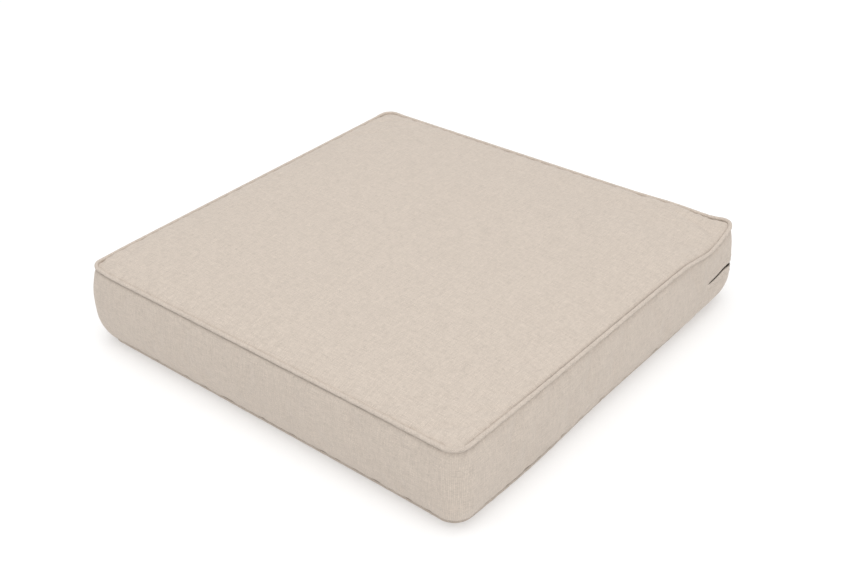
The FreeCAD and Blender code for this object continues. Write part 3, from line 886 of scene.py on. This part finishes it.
def make_foam():
    """The foam slab, with softly rounded edges."""
    low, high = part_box("foam_core")
    n = 24
    t = np.linspace(-1, 1, n)
    faces, points = [], []
    for axis in range(3):
        for sign in (-1, 1):
            a, b = np.meshgrid(t, t, indexing="ij")
            cube = np.zeros((n, n, 3))
            cube[..., axis] = sign
            cube[..., (axis + 1) % 3] = a
            cube[..., (axis + 2) % 3] = b
            first = len(points) * n * n
            index = first + np.arange(n * n).reshape(n, n)
            quads = grid_faces(index)
            faces.append(quads[:, ::-1] if sign > 0 else quads)
            points.append(cube.reshape(-1, 3))
    cube = np.concatenate(points)
    size = np.array(high - low) / 2
    centre = np.array(high + low) / 2
    radius = 6 * MM
    flat = np.sign(cube) * abs(cube) ** 0.5 * size
    core = np.clip(flat, -(size - radius), size - radius)
    away = flat - core
    length = np.linalg.norm(away, axis=1, keepdims=True)
    rounded = core + away / np.maximum(length, 1e-9) * np.minimum(length, radius)
    obj = make_mesh("foam_slab", centre + rounded, np.concatenate(faces))
    add_weld(obj, 0.05 * MM)
    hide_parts("foam_core")
    return obj


# ---- materials ----
def new_material(name):
    """A new material, the short ways to add to it, and its shader."""
    material = bpy.data.materials.new(name)
    material.use_nodes = True
    return material, Nodes(material.node_tree), material.node_tree.nodes["Principled BSDF"]


def linear(r, g, b):
    """A colour given as ordinary 0-255 values."""
    def one(c):
        c /= 255
        return c / 12.92 if c <= 0.04045 else ((c + 0.055) / 1.055) ** 2.4
    return one(r), one(g), one(b)


class Nodes:
    """Short ways to add nodes to a tree."""

    def __init__(self, tree):
        self.tree = tree

    def add(self, kind, **settings):
        node = self.tree.nodes.new(kind)
        for key, value in settings.items():
            setattr(node, key, value)
        return node

    def put(self, socket, value):
        if isinstance(value, bpy.types.NodeSocket):
            self.tree.links.new(value, socket)
        else:
            socket.default_value = value

    def math(self, operation, a, b=0.0):
        node = self.add("ShaderNodeMath", operation=operation)
        self.put(node.inputs[0], a)
        self.put(node.inputs[1], b)
        return node.outputs[0]

    def surface(self, shader, colour, roughness, normal):
        for name, value in (("Base Color", colour), ("Roughness", roughness), ("Normal", normal)):
            self.put(shader.inputs[name], value)

    def place(self):
        """Where a point is on its own piece."""
        return self.add("ShaderNodeTexCoord").outputs["Object"]

    def plus(self, a, b):
        return self.math("ADD", a, b)

    def times(self, a, b):
        return self.math("MULTIPLY", a, b)

    def multiply(self, colour, value):
        node = self.add("ShaderNodeVectorMath", operation="SCALE")
        self.put(node.inputs[0], colour)
        self.put(node.inputs[3], value)
        return node.outputs[0]

    def noise(self, vector, scale, detail=2.0, roughness=0.5):
        node = self.add("ShaderNodeTexNoise")
        self.put(node.inputs["Vector"], vector)
        self.put(node.inputs["Scale"], scale)
        self.put(node.inputs["Detail"], detail)
        self.put(node.inputs["Roughness"], roughness)
        return node.outputs[0]

    def combine(self, x, y, z=0.0):
        node = self.add("ShaderNodeCombineXYZ")
        for socket, value in zip(node.inputs, (x, y, z)):
            self.put(socket, value)
        return node.outputs[0]

    def bump(self, height, strength, distance, normal=None):
        node = self.add("ShaderNodeBump")
        self.put(node.inputs["Strength"], strength)
        self.put(node.inputs["Distance"], distance)
        self.put(node.inputs["Height"], height)
        if normal is not None:
            self.put(node.inputs["Normal"], normal)
        return node.outputs[0]


def woven(name, colour, pitch, turn=0.0, slub=1.0, depth=0.5 * MM):
    """Plain-weave cloth: threads over and under each other, thick and thin places, and a little fuzz."""
    material, n, shader = new_material(name)
    flat = n.add("ShaderNodeAttribute", attribute_name="cloth").outputs["Vector"]
    if turn:
        rotate = n.add("ShaderNodeVectorRotate", rotation_type="Z_AXIS")
        n.put(rotate.inputs["Vector"], flat)
        n.put(rotate.inputs["Angle"], turn)
        flat = rotate.outputs[0]
    wander = n.noise(flat, 90.0, 2.0)
    split = n.add("ShaderNodeSeparateXYZ")
    n.put(split.inputs[0], flat)
    drift = n.times(n.math("SUBTRACT", wander, 0.5), 0.9)
    u = n.plus(n.times(split.outputs[0], 1 / pitch), drift)
    v = n.plus(n.times(split.outputs[1], 1 / pitch), drift)

    def thread(across, along, shift):
        """Height and own shade of the threads that run along one way."""
        number = n.math("FLOOR", across)
        rounded = n.math("POWER", n.math("ABSOLUTE", n.math("SINE", n.times(across, math.pi))), 0.6)
        wave = n.math("COSINE", n.times(n.plus(n.plus(along, number), shift), math.pi))
        own = n.noise(n.combine(n.times(number, 7.31), n.times(along, 0.06)), 1.0, 1.0)
        thickness = n.noise(n.combine(n.times(number, 3.17), n.times(along, 0.2)), 1.0, 2.0)
        height = n.plus(n.times(rounded, 0.55), n.times(wave, 0.28))
        height = n.plus(height, n.times(n.math("SUBTRACT", thickness, 0.5), 0.7 * slub))
        return height, own, thickness

    warp, warp_shade, warp_slub = thread(u, v, -0.5)
    weft, weft_shade, weft_slub = thread(v, u, 0.5)
    on_top = n.math("GREATER_THAN", warp, weft)
    height = n.math("MAXIMUM", warp, weft)
    shade = n.add("ShaderNodeMix", data_type="FLOAT")
    n.put(shade.inputs[0], on_top)
    n.put(shade.inputs[2], n.plus(n.times(weft_shade, 0.32), n.times(weft_slub, 0.26)))
    n.put(shade.inputs[3], n.plus(n.times(warp_shade, 0.32), n.times(warp_slub, 0.26)))
    fleck = n.noise(flat, 520.0, 3.0, 0.6)
    cloud = n.noise(flat, 9.0, 3.0, 0.5)
    tone = n.plus(shade.outputs[0], n.times(fleck, 0.2))
    tone = n.plus(tone, n.times(cloud, 0.03))
    # painted shade: the weave is darker where the threads lie low, in the gaps between them
    gap_shade = n.times(n.math("MINIMUM", height, 0.7), 0.46)
    brightness = n.plus(n.plus(tone, gap_shade), 0.34)
    # painted shade: the cloth is darkened by up to half in the sewn folds beside seams
    shade_amount = n.add("ShaderNodeAttribute", attribute_name="crease_shade").outputs["Fac"]
    brightness = n.times(brightness, n.math("SUBTRACT", 1.0, n.times(shade_amount, 0.5)))
    fibre = n.noise(n.combine(n.times(u, 1.5), n.times(v, 1.5)), 9.0, 3.0, 0.6)
    fine = n.bump(fibre, 0.25, 0.06 * MM)
    colour = n.multiply(colour, brightness)
    roughness = n.plus(0.82, n.times(fleck, 0.2))
    n.surface(shader, colour, roughness, n.bump(height, 0.75, depth, fine))
    shader.inputs["Sheen Weight"].default_value = 0.18
    shader.inputs["Sheen Roughness"].default_value = 0.45
    shader.inputs["Specular IOR Level"].default_value = 0.25
    return material


def soft_fill(name, colour, scale, depth):
    """Foam or fibre: a fine irregular surface."""
    material, n, shader = new_material(name)
    place = n.place()
    cells = n.add("ShaderNodeTexVoronoi")
    n.put(cells.inputs["Vector"], place)
    n.put(cells.inputs["Scale"], scale)
    cloud = n.noise(place, scale / 12, 4.0)
    colour = n.multiply(colour, n.plus(0.85, n.times(cloud, 0.25)))
    roughness = n.plus(0.8, n.times(cells.outputs[0], 0.2))
    n.surface(shader, colour, roughness, n.bump(cells.outputs[0], 0.6, depth))
    return material


def thread_material(name, colour, twist):
    """Twisted thread or cord: fine slanting ridges."""
    material, n, shader = new_material(name)
    place = n.place()
    wave = n.add("ShaderNodeTexWave", wave_type="BANDS", bands_direction="DIAGONAL")
    n.put(wave.inputs["Vector"], place)
    n.put(wave.inputs["Scale"], twist)
    n.put(wave.inputs["Distortion"], 1.5)
    shade = n.plus(0.82, n.times(wave.outputs[1], 0.22))
    colour = n.multiply(colour, shade)
    roughness = n.plus(0.5, n.times(wave.outputs[1], 0.15))
    n.surface(shader, colour, roughness, n.bump(wave.outputs[1], 0.5, 0.05 * MM))
    shader.inputs["Sheen Weight"].default_value = 0.15
    return material


def tape_material(name, colour):
    """Zip tape: a close twill whose ribs run along the tape."""
    material, n, shader = new_material(name)
    place = n.place()
    split = n.add("ShaderNodeSeparateXYZ")
    n.put(split.inputs[0], place)
    run = n.plus(split.outputs[0], split.outputs[1])
    rib = n.math("SINE", n.times(split.outputs[2], 2 * math.pi / (0.9 * MM)))
    slant = n.math("SINE", n.times(n.plus(run, split.outputs[2]), 2 * math.pi / (0.8 * MM)))
    height = n.plus(n.times(rib, 0.5), n.times(slant, 0.35))
    fleck = n.noise(place, 900.0, 2.0)
    shade = n.plus(n.plus(0.84, n.times(fleck, 0.2)), n.times(height, 0.06))
    colour = n.multiply(colour, shade)
    roughness = n.plus(0.7, n.times(fleck, 0.2))
    n.surface(shader, colour, roughness, n.bump(height, 0.6, 0.12 * MM))
    return material


def moulded(name, colour, roughness, metallic=0.0):
    """Nylon or enamelled metal: nearly even, with slight mottling and handling marks."""
    material, n, shader = new_material(name)
    place = n.place()
    mottle = n.noise(place, 700.0, 3.0)
    marks = n.noise(place, 2600.0, 2.0)
    colour = n.multiply(colour, n.plus(0.9, n.times(mottle, 0.2)))
    roughness = n.plus(roughness - 0.06, n.times(mottle, 0.12))
    n.surface(shader, colour, roughness, n.bump(marks, 0.2, 0.02 * MM))
    shader.inputs["Metallic"].default_value = metallic
    return material


CLOTH = linear(196, 184, 172)
THREAD_PITCH = 1.45 * MM


def make_materials():
    return {
        "cover_fabric": woven("natural_weave", CLOTH, THREAD_PITCH),
        "piping_fabric": woven("natural_weave_bias", CLOTH, THREAD_PITCH, turn=math.radians(45)),
        "piping_cord": thread_material("white_cord", linear(236, 234, 228), 900.0),
        "sewing_thread": thread_material("beige_thread", linear(208, 197, 184), 1600.0),
        "zip_tape": tape_material("beige_zip_tape", linear(203, 190, 174)),
        "zip_coil": moulded("beige_nylon", linear(196, 182, 165), 0.42),
        "zip_metal": moulded("beige_enamel", linear(186, 170, 150), 0.32),
        "foam": soft_fill("cream_foam", linear(240, 232, 205), 1100.0, 0.3 * MM),
        "fibre": soft_fill("white_fibre", linear(245, 245, 243), 500.0, 0.6 * MM),
    }


def dress(obj, material, slot=None):
    """Gives a piece its material, and puts it in the cushion's body when slot, the name of its finish, is
    given; the slot is not stored.
    """
    obj.data.materials.clear()
    obj.data.materials.append(material)
    if slot:
        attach(obj, "cushion")


# ---- stage ----
AZIMUTH, ELEVATION, ROLL = math.radians(40.7), math.radians(32.4), math.radians(-1.87)
FOCAL = 52.4                     # for a sensor 36 mm wide
DISTANCE = 2.646                 # in widths of the cushion, from the middle of the top seam's plane
ACROSS, ABOVE = 0.018, -0.081    # how far the camera stands off the line to it, in widths


def make_camera():
    back = np.array([math.sin(AZIMUTH) * math.cos(ELEVATION), -math.cos(AZIMUTH) * math.cos(ELEVATION),
                     math.sin(ELEVATION)])
    right = np.array([math.cos(AZIMUTH), math.sin(AZIMUTH), 0])
    up = np.cross(back, right)
    rolled_right = right * math.cos(ROLL) + up * math.sin(ROLL)
    rolled_up = up * math.cos(ROLL) - right * math.sin(ROLL)
    seam_plane = SEAM_HIGH + 2.8 * MM
    place = WIDTH * (back * DISTANCE + right * ACROSS + up * ABOVE) + np.array([0, 0, seam_plane])
    camera = bpy.data.cameras.new("camera")
    camera.lens = FOCAL
    camera.sensor_width = 36
    camera.clip_start = 0.01
    obj = new_object("camera", camera)
    turn = Matrix((rolled_right, rolled_up, back)).transposed().to_4x4()
    obj.matrix_world = Matrix.Translation(place) @ turn
    bpy.context.scene.camera = obj


def add_light(name, place, aim, size, power):
    light = bpy.data.lights.new(name, "AREA")
    light.shape = "SQUARE"
    light.size = size
    light.energy = power
    obj = new_object(name, light)
    obj.location = place
    obj.rotation_euler = (Vector(aim) - Vector(place)).to_track_quat("-Z", "Y").to_euler()


def make_stage():
    """A pale floor, a bright even sky and two large soft lights."""
    half = 12.0
    corners = [(-half, -half, 0), (half, -half, 0), (half, half, 0), (-half, half, 0)]
    floor = make_mesh("floor", corners, [(0, 1, 2, 3)])
    material, _, shader = new_material("pale_floor")
    shader.inputs["Base Color"].default_value = (0.7, 0.7, 0.7, 1)
    shader.inputs["Emission Color"].default_value = (1, 1, 1, 1)
    shader.inputs["Emission Strength"].default_value = 0.3      # keeps the shadow on it faint
    shader.inputs["Roughness"].default_value = 0.9
    floor.data.materials.append(material)
    world = bpy.data.worlds.new("sky")
    world.use_nodes = True
    background = world.node_tree.nodes["Background"]
    background.inputs["Color"].default_value = (1, 1, 1, 1)
    background.inputs["Strength"].default_value = 0.84
    bpy.context.scene.world = world
    add_light("overhead", (0.2, -0.3, 2.4), (0, 0, 0), 2.2, 26)
    add_light("side", (2.6, -1.2, 1.3), (0, 0, 0.05), 2.2, 8)
    bpy.context.scene.view_settings.view_transform = "Standard"


# ---- the whole cushion ----
def main():
    make_camera()
    make_stage()
    materials = make_materials()
    boxing_points, top_points, bottom_points = sewn_skin()
    boxing = Boxing(boxing_points)
    rows = boxing.opened()
    top_loop, bottom_loop = boxing_points[-1], boxing_points[0]
    stitch_away = SLIT_HALF + FOLD_R + 4.5 * MM

    covers = [make_top_panel(top_points), make_bottom_panel(bottom_points), make_boxing(boxing)]
    for cover in covers:
        dress(cover, materials["cover_fabric"], "cover_fabric")
    seams = (("top", top_loop, 1, top_lean()), ("bottom", bottom_loop, -1, bottom_lean()))
    for name, loop, way, lean in seams:
        piping = make_piping(f"{name}_piping", loop, lean, f"{name}_piping_cover", 31 + way)
        dress(piping, materials["piping_fabric"], "cover_fabric")
    for tube, slot in make_inner_tubes(seams):
        dress(tube, materials[slot], slot)

    for side, height in (("upper", ZIP_Z + stitch_away), ("lower", ZIP_Z - stitch_away)):
        stitches = make_topstitch(f"{side}_topstitching", boxing, rows, height, f"zip_topstitch_{side}")
        dress(stitches, materials["sewing_thread"], "sewing_thread")
        coil = make_coil(f"{side}_zip_coil", side == "upper", f"zip_coil_{side}")
        dress(coil, materials["zip_coil"], "zip_coil")

    wrap = make_wrap((boxing_points, top_points, bottom_points))
    dress(wrap, materials["fibre"], "fibre")
    foam = make_foam()
    dress(foam, materials["foam"], "foam")

    dress(make_metal("slider_body", "zip_slider", "slider"), materials["zip_metal"])
    dress(make_metal("slider_pull", "zip_pull", "pull"), materials["zip_metal"])
    kept = {"zip_tape_upper": "zip_tape", "zip_tape_lower": "zip_tape", "zip_bartacks": "sewing_thread"}
    for node, slot in kept.items():
        dress(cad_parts[node], materials[slot])


main()
